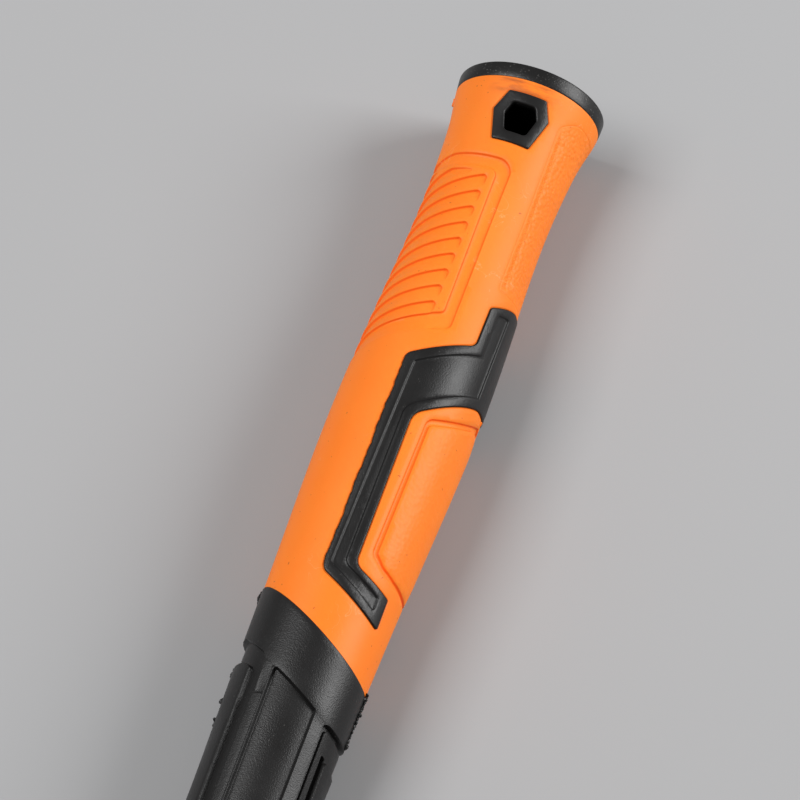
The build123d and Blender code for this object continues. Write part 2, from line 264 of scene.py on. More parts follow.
def beside(line, amount, closed=True):
    """A line moved sideways by amount (to the left as it runs)."""
    ahead, behind = np.roll(line, -1, 0), np.roll(line, 1, 0)
    if not closed:
        ahead[-1], behind[0] = 2 * line[-1] - line[-2], 2 * line[0] - line[1]
    run = ahead - behind
    run /= np.linalg.norm(run, axis=1, keepdims=True) + 1e-12
    return line + amount * np.stack([-run[:, 1], run[:, 0]], 1)


def inside_by(points, ring):
    """How far points lie inside a closed ring; negative outside."""
    nearest = np.full(len(points), 1e9)
    odd = np.zeros(len(points), bool)
    for a, b in zip(ring, np.roll(ring, -1, 0)):
        run = b - a
        t = np.clip((points - a) @ run / max(run @ run, 1e-12), 0, 1)
        gap = points - a - t[:, None] * run
        nearest = np.minimum(nearest, np.einsum("ij,ij->i", gap, gap))
        if a[1] != b[1]:
            spans = (a[1] > points[:, 1]) != (b[1] > points[:, 1])
            odd ^= spans & (points[:, 0] < a[0] + (points[:, 1] - a[1]) * run[0] / run[1])
    return np.where(odd, 1.0, -1.0) * np.sqrt(nearest)


# A step this high gets the full crease mark, which says where shade is painted (mm)
FULL_CREASE = 0.5


def relief(points, features, ground=0.0):
    """Height and crease mark (where shade is painted) of the moulded features at points; each is a ring, its
    level and bevel.
    """
    height = np.full(len(points), float(ground)) if np.isscalar(ground) else ground.copy()
    crease_shade = np.zeros(len(points))
    for ring, level, bevel in features:
        near = np.all((points > ring.min(0) - bevel) & (points < ring.max(0) + bevel), axis=1)
        if not near.any():
            continue
        depth = inside_by(points[near], ring)
        share = np.clip(depth / bevel + 0.5, 0, 1)
        share = share * share * (3 - 2 * share)
        target = level(points[near], depth) if callable(level) else level
        fall = np.abs(target - height[near])
        mark = 4 * share * (1 - share) * np.clip(fall / FULL_CREASE, 0, 1)
        crease_shade[near] = np.maximum(crease_shade[near] * (1 - share), mark)
        height[near] += (target - height[near]) * share
    return height, crease_shade


def feature_lines(features, shares=(-0.5, -0.22, 0.0, 0.22, 0.5)):
    """Lines along each feature's bevel, for the mesh to follow."""
    return [(beside(ring, share * bevel), True) for ring, level, bevel in features for share in shares]


def flat_triangles(points, edges):
    """Triangles between flat points that keep the edges: their places and their corners."""
    out = delaunay_2d_cdt([Vector(p) for p in points], edges, [], 0, 1e-7)
    return np.array([(v.x, v.y) for v in out[0]]), np.array([f for f in out[2] if len(f) == 3])


def signed_area(flat, faces):
    """Twice each triangle's area, negative where it runs clockwise."""
    a, b, c = (flat[faces[:, i]] for i in range(3))
    return (b[:, 0] - a[:, 0]) * (c[:, 1] - a[:, 1]) - (b[:, 1] - a[:, 1]) * (c[:, 0] - a[:, 0])


def triangulate(lines, keep, spacing):
    """Triangles of the flat drawing that follow lines, where keep says, of the sizes in spacing."""
    points, edges = [], []
    for line, closed in lines:
        start = len(points)
        points += [tuple(p) for p in line]
        edges += [(start + i, start + i + 1) for i in range(len(line) - 1)]
        if closed:
            edges.append((len(points) - 1, start))
    tree = KDTree(len(points))
    for i, p in enumerate(points):
        tree.insert((p[0], p[1], 0), i)
    tree.balance()
    low, high = np.min(points, 0), np.max(points, 0)
    for size, zone in spacing:
        rows = np.arange(max(low[1], -SIDE, zone[1]), min(high[1], SIDE, zone[3]), size * 0.87)
        for k, around in enumerate(rows):
            for along in np.arange(max(low[0], zone[0]) + (k % 2) * size / 2, min(high[0], zone[2]), size):
                finer = any(z[0] < along < z[2] and z[1] < around < z[3] for s, z in spacing if s < size)
                if not finer and tree.find((along, around, 0))[2] > 0.55 * size:
                    points.append((along, around))
    flat, faces = flat_triangles(points, edges)
    faces = faces[keep(flat[faces].mean(1))]
    area = signed_area(flat, faces)
    faces[area < 0] = faces[area < 0][:, ::-1]
    faces = faces[np.abs(area) > 1e-9]
    used, faces = np.unique(faces, return_inverse=True)
    return flat[used], faces.reshape(-1, 3)


def open_edges(flat, faces):
    """Edges of the triangles that only one has, without those on the handle's side lines."""
    runs = np.concatenate([faces[:, [0, 1]], faces[:, [1, 2]], faces[:, [2, 0]]])
    keys = {}
    for a, b in runs:
        keys[(min(a, b), max(a, b))] = keys.get((min(a, b), max(a, b)), 0) + 1
    single = [(a, b) for a, b in runs if keys[(min(a, b), max(a, b))] == 1]
    on_side = np.abs(np.abs(flat[:, 1]) - SIDE) < 1e-5
    return single, [(a, b) for a, b in single if not (on_side[a] and on_side[b])]


def mirrored(sheets):
    """The sheets and their copies on the handle's lower half."""
    copies = []
    for points, faces, marks, flat in sheets:
        copies.append((points * (1, 1, -1), [tuple(face)[::-1] for face in faces], marks, flat))
    return sheets + copies


def solid(name, sheets, sharp=50.0, fill=12):
    """One closed mesh from sheets of (points in mm, faces, crease and grain marks, flat places)."""
    points, faces, marks, flats, start = [], [], [], [], 0
    for place, loops, mark, flat in sheets:
        points.append(place)
        marks.append(mark)
        flats.append(flat)
        faces += [tuple(int(i) + start for i in loop) for loop in loops]
        start += len(place)
    mesh = bpy.data.meshes.new(name)
    mesh.from_pydata((np.concatenate(points) * MM).tolist(), [], faces)
    marks, flats = np.concatenate(marks), np.concatenate(flats) * MM
    for column, label in enumerate(("crease_shade", "grain")):
        layer = mesh.attributes.new(label, "FLOAT", "POINT")
        layer.data.foreach_set("value", marks[:, column].astype(np.float32))
    corner = np.zeros(len(mesh.loops), np.int64)
    mesh.loops.foreach_get("vertex_index", corner)
    mesh.uv_layers.new(name="flat_drawing").data.foreach_set("uv", flats[corner].astype(np.float32).ravel())
    work = bmesh.new()
    work.from_mesh(mesh)
    bmesh.ops.remove_doubles(work, verts=work.verts, dist=4e-6)
    loose = [v for v in work.verts if not v.link_faces]
    bmesh.ops.delete(work, geom=loose, context="VERTS")
    holes = [e for e in work.edges if len(e.link_faces) == 1]
    if holes:
        bmesh.ops.holes_fill(work, edges=holes, sides=fill)
    work.to_mesh(mesh)
    work.free()
    mesh.polygons.foreach_set("use_smooth", [True] * len(mesh.polygons))
    mesh.set_sharp_from_angle(angle=radians(sharp))
    return placed(name, mesh)


def outer_face(lines, keep, spacing, features, ground, grain=None):
    """The outer face of a moulded layer: flat places, triangles, heights, crease and grain."""
    flat, faces = triangulate(lines + feature_lines(features), keep, spacing)
    height, crease_shade = relief(flat, features, ground)
    grain_mark = grain(flat) if grain is not None else np.zeros(len(flat))
    return flat, faces, height, np.stack([crease_shade, grain_mark], 1)


def moulding(name, lines, keep, spacing, features, ground, depth, grain=None):
    """A moulded layer: its outer face with the features, its walls, and its inner face at depth."""
    flat, faces, height, marks = outer_face(lines, keep, spacing, features, ground, grain)
    sheets = [(on_skin(flat, height), faces, marks, flat)]
    rim, wall_edges = open_edges(flat, faces)
    rim_index = np.unique(np.array(rim))
    order = {int(i): k for k, i in enumerate(rim_index)}
    rim_flat = flat[rim_index]
    low = on_skin(flat, -depth)
    walls = np.concatenate([on_skin(flat, height), low])
    count = len(flat)
    quads = [(b, a, a + count, b + count) for a, b in wall_edges]
    sheets.append((walls, quads, np.concatenate([marks, marks]), np.concatenate([flat, flat])))
    inner = [tuple(p) for p in rim_flat]
    inner_edges = [(order[int(a)], order[int(b)]) for a, b in rim]
    for along in np.arange(flat[:, 0].min(), flat[:, 0].max(), 4.0):
        inner += [(along, around) for around in np.arange(-SIDE + 2, SIDE - 1, 4.0)]
    inner_flat, inner_faces = flat_triangles(inner, inner_edges)
    inner_faces = inner_faces[keep(inner_flat[inner_faces].mean(1))]
    area = signed_area(inner_flat, inner_faces)
    inner_faces[area > 0] = inner_faces[area > 0][:, ::-1]
    used, packed = np.unique(inner_faces, return_inverse=True)
    inner_flat = inner_flat[used]
    inner_points = on_skin(inner_flat, -depth)
    sheets.append((inner_points, packed.reshape(-1, 3), np.zeros((len(used), 2)), inner_flat))
    return solid(name, mirrored(sheets))


def side_lines(start, end, step=0.7):
    """The handle's two side lines, where its halves meet."""
    along = np.arange(start, end + step, step)
    return [(np.stack([along, np.full(len(along), side)], 1), False) for side in (-SIDE, SIDE)]


def cross_line(x, step=0.8):
    """The line right over the handle at x."""
    around = np.linspace(-SIDE, SIDE, ceil(2 * SIDE / step))
    return (np.stack([np.full(len(around), x), around], 1), False)


def slanted(x, y):
    """A plan point at y on the slanted line that crosses the axis at x."""
    return (x + END_SLOPE * y, y)


def past(x):
    """A ring round everything on the fork's side of the slanted line at x."""
    far = JACKET_LENGTH + WIDE
    return outline([slanted(x, -WIDE), (far, -WIDE), (far, WIDE), slanted(x, WIDE)], step=0.7)


def zone(start, end):
    """The flat drawing's whole width between two distances."""
    return (start, -WIDE, end, WIDE)


def inset(ring, amount):
    """A closed ring moved inwards by amount."""
    x, y = ring[:, 0], ring[:, 1]
    turn = np.sign(np.sum(x * np.roll(y, -1) - np.roll(x, -1) * y))
    return beside(ring, turn * amount)


def rim_lines(ring):
    """Lines just inside a ring, for its rounded edge."""
    return [(inset(ring, amount), True) for amount in (0.06, 0.13, 0.21, 0.3)]


def edge_fall(depth, radius):
    """How far a moulded edge of this radius has fallen away, depth inside its ring."""
    return radius * (1 - np.clip(depth / radius, 0, 1)) ** 2


def rounded_rim(level, radius):
    """A level that falls away over radius towards the ring."""
    return lambda points, depth: level - edge_fall(depth, radius)


BLACK_SPECULAR = 0.38
FLOW_STRETCH = (40.0, 1100.0, 1100.0)


def black_plastic(name, colour, roughness, grain_mm, grain_height, worn="#4A4846", streaks=0.0,
                  speck_from=0.74):
    """Black moulded plastic: fine grain, an uneven sheen, pale rubbed specks, flow streaks."""
    material, tree, shader = new_material(name)
    place = add_node(tree, "ShaderNodeTexCoord").outputs["Object"]
    specks = add_node(tree, "ShaderNodeTexNoise", {"Vector": place, "Scale": 2100.0, "Detail": 1.0})
    few = add_node(tree, "ShaderNodeMapRange",
                   {"Value": specks, "From Min": speck_from, "From Max": speck_from + 0.05})
    skin = add_node(tree, "ShaderNodeMix", {0: few, 6: linear(colour), 7: linear(worn)}, data_type="RGBA")
    cloud = add_node(tree, "ShaderNodeTexNoise", {"Vector": place, "Scale": 90.0, "Detail": 3.0})
    sheen = add_node(tree, "ShaderNodeMapRange",
                     {"Value": cloud, "From Min": 0.3, "From Max": 0.7,
                      "To Min": roughness - 0.04, "To Max": roughness + 0.06})
    grain = add_node(tree, "ShaderNodeTexNoise",
                     {"Vector": place, "Scale": 1000.0 / grain_mm, "Detail": 1.5})
    normal = add_node(tree, "ShaderNodeBump", {"Height": grain, "Distance": grain_height * MM})
    if streaks:
        drawn = add_node(tree, "ShaderNodeMapping", {"Vector": place, "Scale": FLOW_STRETCH})
        streak = add_node(tree, "ShaderNodeTexNoise", {"Vector": drawn, "Scale": 1.0, "Detail": 1.0})
        where = add_node(tree, "ShaderNodeAttribute", attribute_name="grain").outputs["Fac"]
        height = add_node(tree, "ShaderNodeMath", {0: streak, 1: where}, operation="MULTIPLY")
        normal = add_node(tree, "ShaderNodeBump",
                          {"Height": height, "Distance": streaks * MM, "Normal": normal})
    set_inputs(shader, {"Base Color": skin.outputs[2], "Roughness": sheen, "Normal": normal,
                        "Specular IOR Level": BLACK_SPECULAR})
    return material


def fit(piece, material, slot, *nodes):
    """Gives a finished piece its material and its body, and hides the CAD nodes it stands for; slot is not
    used.
    """
    piece.data.materials.clear()
    piece.data.materials.append(material)
    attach(piece, "root")
    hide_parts(*nodes)


def face_outwards(mesh):
    """Turns every face of a closed mesh outwards."""
    work = bmesh.new()
    work.from_mesh(mesh)
    bmesh.ops.recalc_face_normals(work, faces=work.faces)
    work.to_mesh(mesh)
    work.free()


def bake(piece):
    """Gives a piece the mesh that its modifiers make, and takes them off."""
    bpy.context.view_layer.update()
    mesh = bpy.data.meshes.new_from_object(piece.evaluated_get(bpy.context.evaluated_depsgraph_get()))
    piece.modifiers.clear()
    piece.data = mesh


SHARP_ANGLE = 50.0


def cut_by(piece, first, second):
    """Takes out of a piece the closed block between two rings of the same number of points (mm)."""
    count = len(first)
    sides = [(i, (i + 1) % count, count + (i + 1) % count, count + i) for i in range(count)]
    ends = [tuple(range(count))[::-1], tuple(range(count, 2 * count))]
    block = bpy.data.meshes.new("cutter")
    block.from_pydata((np.concatenate([first, second]) * MM).tolist(), [], sides + ends)
    face_outwards(block)
    cutter = placed("cutter", block)
    tool = piece.modifiers.new("cut", "BOOLEAN")
    tool.operation, tool.solver, tool.object = "DIFFERENCE", "MANIFOLD", cutter
    bake(piece)
    piece.data.set_sharp_from_angle(angle=radians(SHARP_ANGLE))
    bpy.data.objects.remove(cutter)


def hexagon_ring(x, flats, turn):
    """A hexagon across the bar with flats up and down, sampled at the angles turn."""
    reach = flats / 2 / np.cos((turn - pi / 2 + pi / 6) % (pi / 3) - pi / 6)
    return np.stack([np.full(len(turn), x), reach * np.cos(turn), reach * np.sin(turn)], 1)


def oval_ring(x, grow, turn):
    """The handle's oval at x, grown by grow, sampled at the angles turn."""
    wide = float(half_width(x))
    across = float(drift(x)) + (wide + grow) * np.cos(turn)
    return np.stack([np.full(len(turn), x), across, (SECTION_RATIO * wide + grow) * np.sin(turn)], 1)


def from_rings(name, rings, closed=False, sharp=40.0):
    """A closed piece from rings of points: the last joins the first, or a fan closes each end."""
    count, loops = len(rings[0]), len(rings)
    points, faces = list(np.concatenate(rings)), []
    for k in range(loops if closed else loops - 1):
        a, b = k * count, (k + 1) % loops * count
        faces += [(a + i, a + (i + 1) % count, b + (i + 1) % count, b + i) for i in range(count)]
    for first in () if closed else (0, (loops - 1) * count):
        points.append(np.mean(points[first:first + count], axis=0))
        faces += [(first + i, first + (i + 1) % count, len(points) - 1) for i in range(count)]
    points = np.array(points)
    piece = solid(name, [(points, faces, np.zeros((len(points), 2)), points[:, :2])], sharp)
    face_outwards(piece.data)
    return piece


COLLAR_PROUD = 0.22
RIM_ROUNDING = 0.3


def collar_ramp(points, depth):
    """A ramp down from the collar."""
    return 0.15 - 0.65 * np.clip((points[:, 0] - 177) / 8, 0, 1)


# Each is its plan corners, their rounding, its level and its bevel
JACKET_MOULDINGS = [
    # The recess under the collar's left end and the deep channel beside the left rail
    ([(170.2, -WIDE), (170.6, -15.4), (172.4, -12.9), (174.6, -9.4), (176.9, -8.3), (PANEL_END - 4.6, -8.1),
      (PANEL_END - 6.2, -11.0), (178.6, -11.3), (177.4, -13.5), (177.1, -WIDE)],
     [0, 0.5, 1.5, 1.5, 1.5, 0.5, 0.5, 1.0, 0.8, 0], -0.95, 0.5),
    # Left rail
    ([(178.6, -11.4), (177.3, -13.6), (177.2, -WIDE), (PANEL_END - 14, -WIDE), (PANEL_END - 6.3, -11.2)],
     [1.0, 0.6, 0, 0, 0.5], 0.2, 0.3),
    # Ramp down from the collar, and the raised strip that starts with a small step
    ([(176.4, -8.2), (185.4, -8.2), (185.4, -5.8), (177.5, -5.8)], 0.2, collar_ramp, 0.4),
    ([(185.3, -8.2), (PANEL_END - 4.6, -8.1), (PANEL_END - 3.2, -5.4), (185.3, -5.8)], 0.2, 0.12, 0.3),
    # Sunken middle panel with a thin bead along its left side
    ([slanted(COLLAR_END, -5.4), slanted(COLLAR_END, 7.3), slanted(PANEL_END, 7.0), slanted(PANEL_END, -4.8)],
     0.5, -0.95, 0.5),
    ([(177.9, -5.85), (PANEL_END - 3, -5.2), (PANEL_END - 2.6, -4.8), (178.2, -5.35)], 0.1, 0.3, 0.3),
    # Groove round the right panel, the panel, its deep slot and the right rail
    ([(186.4, 10.1), (187.0, 12.2), (188.2, 15.0), (189.5, WIDE), (PANEL_END + 14, WIDE),
      (PANEL_END + 5.6, 10.0)], [0.8, 0, 0, 0, 0, 0.5], -1.1, 0.45),
    ([(187.7, 10.9), (188.2, 12.4), (189.5, 15.2), (190.8, WIDE), (PANEL_END + 13, WIDE),
      (PANEL_END + 5.0, 10.8)], [0.6, 0, 0, 0, 0, 0.5], -0.4, 0.4),
    ([(193.4, 12.1), (PANEL_END + 4, 12.0), (PANEL_END + 4, 12.9), (194.0, 12.95)], 0.2, -1.7, 0.35),
    ([(193.9, 13.0), (196.4, 15.8), (197.4, WIDE), (PANEL_END + 12, WIDE), (PANEL_END + 5.6, 13.0)],
     [0.5, 0.5, 0, 0, 0.5], 0.25, 0.35),
]
jacket_features = [(past(GRIP_LENGTH), rounded_rim(COLLAR_PROUD, RIM_ROUNDING), 0.1),
                   (past(COLLAR_END), 0.0, 3.0)]
jacket_features += [(outline(corners, rounding, 0.7), level, bevel)
                    for corners, rounding, level, bevel in JACKET_MOULDINGS]
jacket_lines = (side_lines(CAP_LENGTH, JACKET_LENGTH) + [cross_line(CAP_LENGTH), cross_line(JACKET_LENGTH)]
                + rim_lines(past(GRIP_LENGTH)))


def in_jacket(flat):
    return (np.abs(flat[:, 1]) < SIDE) & (flat[:, 0] > CAP_LENGTH) & (flat[:, 0] < JACKET_LENGTH)


flat, faces, height, marks = outer_face(jacket_lines, in_jacket, [(5.0, zone(0, 150)), (1.3, zone(150, 300))],
                                        jacket_features, -GRIP_WALL)
jacket = solid("shaft_jacket_moulding", mirrored([(on_skin(flat, height), faces, marks, flat)]), fill=0)
# The hang hole's tube and the bar's pocket are cut through it; plan corners of the hole and its bezel
HOLE = [(11.0, -0.9), (11.0, 5.1), (14.4, 6.4), (19.5, 5.0), (19.5, -0.6), (14.4, -2.1)]
BEZEL = [(8.1, -2.8), (8.1, 7.2), (13.4, 9.4), (22.6, 6.9), (22.6, -3.0), (13.8, -5.3)]
BEZEL_PROUD = 0.3
LINER_WALL = 1.5
hole_ring = outline(HOLE, 1.2, 0.35)
bezel_ring = outline(BEZEL, 0.5, 0.45)
tube_ring = inset(hole_ring, -LINER_WALL)
CORE_FLATS = 16.0
CORE_START = 27.6
CUT_OVERRUN = 5.0
tube_plan = on_skin(tube_ring, 0) * (1, 1, 0)
cut_by(jacket, tube_plan - (0, 0, WIDE), tube_plan + (0, 0, WIDE))
corners = np.arange(6) * pi / 3
cut_by(jacket, hexagon_ring(CORE_START, CORE_FLATS, corners),
       hexagon_ring(JACKET_LENGTH + CUT_OVERRUN, CORE_FLATS, corners))
jacket_black = black_plastic("polypropylene_black_spark_grain", "#121111", 0.37, 0.32, 0.06)
fit(jacket, jacket_black, "jacket_black", "shaft_jacket")

# ------------------------------------ butt cap
# Black polypropylene plug with a flared rim, pressed on the end of the handle. Its face
# is dished a little inside the rim.
# Distance from the butt and growth past the handle's oval, from the face by the grip to the dish
CAP_STEPS = ((CAP_LENGTH, -6.0), (CAP_LENGTH, -0.3), (4.25, -0.12), (3.9, 0.0), (2.4, 0.0),
             (0.5, 0.0), (0.2, -0.02), (0.05, -0.12), (0.0, -0.3), (0.0, -3.0), (0.25, -3.35),
             (0.6, -3.7), (0.6, -12.0))
turn = np.linspace(0, 2 * pi, 144, endpoint=False)
cap = from_rings("butt_cap_moulding", [oval_ring(x, grow, turn) for x, grow in CAP_STEPS[::-1]])
cap_black = black_plastic("polypropylene_black_satin_rim", "#151414", 0.36, 0.36, 0.05, worn="#5A5856",
                          speck_from=0.68)
fit(cap, cap_black, "cap_black", "butt_cap")

# ------------------------------------ hang-hole liner
# Six-sided black liner set through the handle, with a bezel a little proud of each face.
MOUTH_ROUNDING = 0.35


def in_bezel(flat):
    return (inside_by(flat, bezel_ring) > 0) & (inside_by(flat, hole_ring) < 0)


liner_flat, liner_faces = triangulate(
    [(bezel_ring, True), (hole_ring, True)] + rim_lines(bezel_ring)
    + [(inset(hole_ring, -r), True) for r in (0.06, 0.15, 0.25, 0.35)], in_bezel, [(0.9, zone(0, 30))])
rim_fall = edge_fall(inside_by(liner_flat, bezel_ring), RIM_ROUNDING)
mouth_fall = edge_fall(-inside_by(liner_flat, hole_ring), MOUTH_ROUNDING)
liner_top = on_skin(liner_flat, BEZEL_PROUD - rim_fall - mouth_fall)
blank = np.zeros((len(liner_flat), 2))
liner_sheets = [(liner_top, liner_faces, blank, liner_flat)]
rim, rim_edges = open_edges(liner_flat, liner_faces)
nearer_hole = np.abs(inside_by(liner_flat, hole_ring)) < np.abs(inside_by(liner_flat, bezel_ring))
lower = np.where(nearer_hole[:, None], liner_top * (1, 1, 0), on_skin(liner_flat, -GRIP_WALL))
count = len(liner_flat)
walls = [(b, a, a + count, b + count) for a, b in rim_edges]
# The grain mark grows down the tube, where the wall is matt and where shade is painted in near black
tube_mark = np.concatenate([blank, np.where(nearer_hole[:, None], (0.0, 1.0), 0.0)])
liner_sheets.append((np.concatenate([liner_top, lower]), walls, tube_mark, np.tile(liner_flat, (2, 1))))


def in_flange(flat):
    return (inside_by(flat, bezel_ring) > 0) & (inside_by(flat, tube_ring) < 0)


flange_lines = [(bezel_ring, True), (tube_ring, True)]
under_flat, under_faces = triangulate(flange_lines, in_flange, [(3.0, zone(0, 30))])
under = on_skin(under_flat, -GRIP_WALL)
blank = np.zeros((len(under_flat), 2))
liner_sheets.append((under, under_faces[:, ::-1], blank, under_flat))
rim, rim_edges = open_edges(under_flat, under_faces)
nearer_tube = np.abs(inside_by(under_flat, tube_ring)) < np.abs(inside_by(under_flat, bezel_ring))
count = len(under_flat)
walls = [(a, b, b + count, a + count) for a, b in rim_edges if nearer_tube[a] and nearer_tube[b]]
liner_sheets.append((np.concatenate([under, under * (1, 1, 0)]), walls, np.tile(blank, (2, 1)),
                     np.tile(under_flat, (2, 1))))
liner = solid("hang_liner_moulding", mirrored(liner_sheets))
liner_black = black_plastic("polypropylene_black_satin_liner", "#131212", 0.39, 0.36, 0.035)
tree = liner_black.node_tree
shader = tree.nodes["Principled BSDF"]
# Painted shade: down the tube the wall's colour is painted near black, for the shade deep in the hole, and
# its specular level falls to nothing
tube = add_node(tree, "ShaderNodeAttribute", attribute_name="grain").outputs["Fac"]
skin_colour = shader.inputs["Base Color"].links[0].from_socket
share = add_node(tree, "ShaderNodeMath", {0: tube, 1: 8.0}, operation="MULTIPLY", use_clamp=True)
painted_tube_shade = add_node(tree, "ShaderNodeMix", {0: share, 6: skin_colour, 7: linear("#020202")}, data_type="RGBA")
dull = add_node(tree, "ShaderNodeMapRange",
                {"Value": tube, "From Max": 0.08, "To Min": BLACK_SPECULAR, "To Max": 0.0})
set_inputs(shader, {"Base Color": painted_tube_shade.outputs[2], "Specular IOR Level": dull})
fit(liner, liner_black, "liner_black", "hang_liner")

# ------------------------------------ grip inlay
# S-shaped black inlay, moulded as one band over the handle's edge with an arm on each
# face: a matt grained border and a smoother sunken field.
INLAY = [
    (62.2, 40), (64.2, 17.4), (68.4, 12.1), (80.4, 12.0), (89.6, -3.0), (150.8, -3.3),
    (159.4, 13.4), (151.2, 13.4), (147.2, 4.0), (104.9, 4.0), (94.2, 17.4), (91.6, 40),
]
INLAY_ROUNDING = [0, 1.5, 1.2, 3.0, 2.5, 3.0, 0.4, 0.4, 3.0, 5.0, 1.5, 0]
FIELD = [
    (67.6, 16.5), (69.0, 14.2), (81.8, 14.0), (91.2, -0.3), (148.8, -1.6),
    (155.8, 11.3), (152.3, 11.3), (147.8, 1.5), (103.6, 1.6), (91.9, 16.5),
]
FIELD_ROUNDING = [0.3, 0.8, 1.2, 0.8, 1.5, 0.3, 0.5, 2.5, 5.0, 0.3]
INLAY_PROUD = 0.3
inlay_ring = outline(INLAY, INLAY_ROUNDING)
# The orange closed raggedly against the long arm's left side: waves of this height and rate
WAVES = ((0.1, 0.33, 0.4), (0.07, 0.87, 2.0), (0.05, 1.9, 1.1), (0.03, 3.7, 0.0))
ragged = (inlay_ring[:, 0] > 93) & (inlay_ring[:, 0] < 149) & (inlay_ring[:, 1] < -2.6)
wander = sum(high * np.sin(inlay_ring[:, 0] * rate + shift) for high, rate, shift in WAVES)
inlay_ring[ragged, 1] += wander[ragged]
field_ring = outline(FIELD, FIELD_ROUNDING)


def in_inlay(flat):
    return (np.abs(flat[:, 1]) < SIDE) & (inside_by(flat, inlay_ring) > 0)


def field_grain(flat):
    return 1 - np.clip(inside_by(flat, field_ring) / 0.3 + 0.5, 0, 1)


inlay = moulding(
    "grip_inlay_moulding", side_lines(60, 96, 0.45) + [(inlay_ring, True)] + rim_lines(inlay_ring),
    in_inlay, [(0.8, zone(50, 170))],
    [(inlay_ring, rounded_rim(INLAY_PROUD, RIM_ROUNDING), 0.02), (field_ring, -0.12, 0.42)],
    INLAY_PROUD, GRIP_WALL, field_grain)
inlay_black = black_plastic("plastic_black_matt_inlay", "#131212", 0.37, 0.34, 0.055, streaks=0.03)
fit(inlay, inlay_black, "inlay_black", "grip_inlay")

# ------------------------------------ orange sleeve
# Soft thermoplastic rubber moulded over the jacket: a rib pad in a shallow channel, a
# faint leather-grained strip, a pebbled lower pad in its own groove, and a slanted end.
RIB_COUNT = 9
RIB_PITCH = 4.98
RIB_START = 33.1
RIB_SLANT = 0.40
RIB_END_AROUND = -1.1
RIB_DEPTH = 0.7
RIB_RUN = 3.9
CHANNEL_DEPTH = 0.65
FAR_SIDE = -SIDE - 3
grip_end = past(GRIP_LENGTH)


def pad_foot(around):
    """Where the rib pad's lower edge lies."""
    return 76.3 + RIB_SLANT * (0.43 - around)


def channel_level(points, depth):
    """The channel's floor, which rises to nothing past the pad's foot, last of all in the corner."""
    rise = np.clip((points[:, 0] - pad_foot(points[:, 1])) / 5.5, 0, 1)
    rise *= np.clip((3.4 - points[:, 1]) / 4.5, 0, 1)
    return -CHANNEL_DEPTH * (1 - rise * rise * (3 - 2 * rise))


def rib_features():
    """Shingle-like scoops: steep at the butt's side, rising to nothing towards the fork."""
    features = []
    top = 32.5
    for k in range(-2, RIB_COUNT):
        start = RIB_START + k * RIB_PITCH

        def level(points, depth, start=start):
            run = points[:, 0] - start - RIB_SLANT * (RIB_END_AROUND - points[:, 1])
            return -RIB_DEPTH * (1 - np.clip(run / RIB_RUN, 0, 1))
        foot = start + RIB_SLANT * (RIB_END_AROUND - FAR_SIDE)
        if start >= top:
            corners = [(start, RIB_END_AROUND), (foot, FAR_SIDE), (foot + RIB_RUN, FAR_SIDE),
                       (start + RIB_RUN, RIB_END_AROUND)]
            rounding = [0.9, 0, 0, 1.8]
        else:
            cross = RIB_END_AROUND - (top - start) / RIB_SLANT
            leave = RIB_END_AROUND - max(0.0, top - start - RIB_RUN) / RIB_SLANT - 1.0
            corners = [(top, cross), (foot, FAR_SIDE), (foot + RIB_RUN, FAR_SIDE), (top, leave)]
            rounding = [0.6, 0, 0, 0.6]
        features.append((outline(corners, rounding, plan=False), level, 0.38))
    return features


CIRCLE_START = 15.5
CIRCLE_END = 61.5
CIRCLE_PITCH = 1.05
CIRCLE_ROW = 13.15


def strip_circles():
    """A row of small pressed circles along the leather-grained strip's first line."""
    features = []
    for along in np.arange(CIRCLE_START, CIRCLE_END, CIRCLE_PITCH):
        middle = flatten([(along, CIRCLE_ROW)])[0]
        for radius, level in ((0.45, -0.1), (0.27, -0.02)):
            turn = np.linspace(0, 2 * pi, 12, endpoint=False)
            ring = middle + radius * np.stack([np.cos(turn), np.sin(turn)], 1)
            features.append((ring, level, 0.14))
    return features


strip_ring = outline([(8.7, 30), (8.7, 16.3), (12.5, 12.1), (62.7, 12.1), (62.7, 30)], [0, 4, 4, 1.0, 0])
pad_ring = outline([(98.2, -FAR_SIDE), (99.4, 22.5), (106.0, 8.4), (142.4, 8.65), (144.8, 11.7),
                    (146.3, 16.6), (147.3, 22), (148.0, -FAR_SIDE)], [0, 2, 1.6, 1.2, 3, 5, 0, 0], plan=False)
pad_channel = outline([(95.3, -FAR_SIDE), (97.6, 23.6), (104.7, 7.45), (143.0, 7.4), (145.7, 11.6),
                       (147.2, 16.6), (148.1, 22), (148.9, -FAR_SIDE)],
                      [0, 2, 2.5, 2.2, 3, 5, 0, 0], plan=False)
channel_ring = outline([(29.6, FAR_SIDE), (28.9, -19.5), (27.7, -13.0), (27.7, 4.33), (79.4, 4.4),
                        (79.4 + RIB_SLANT * (4.4 - FAR_SIDE), FAR_SIDE)], [0, 3, 4, 4.2, 2.2, 0], plan=False)
rib_pad_ring = outline([(31.6, FAR_SIDE), (31.2, 0.95), (75.5, 1.6), (pad_foot(FAR_SIDE), FAR_SIDE)],
                       [0, 2.2, 1.4, 0], plan=False)
grip_features = [
    (channel_ring, channel_level, 0.4),
    (rib_pad_ring, 0.0, 0.5),
    *rib_features(),
    (strip_ring, -0.08, 0.2),
    (inset(strip_ring, 0.35), -0.03, 0.2),
    *strip_circles(),
    (pad_channel, -0.6, 0.4),
    (pad_ring, lambda points, depth: 0.3 * np.clip(depth / 5, 0, 1) ** 0.7, 0.4),
    # A small rounding where the sleeve meets the inlay and the bezel
    (inset(inlay_ring, -0.25), -0.22, 0.4),
    (inset(bezel_ring, -0.25), -0.2, 0.4),
]
sleeve_lines = side_lines(CAP_LENGTH, 180, 0.6) + [cross_line(CAP_LENGTH)]
sleeve_lines += [(inlay_ring, True), (bezel_ring, True), (grip_end, True)]


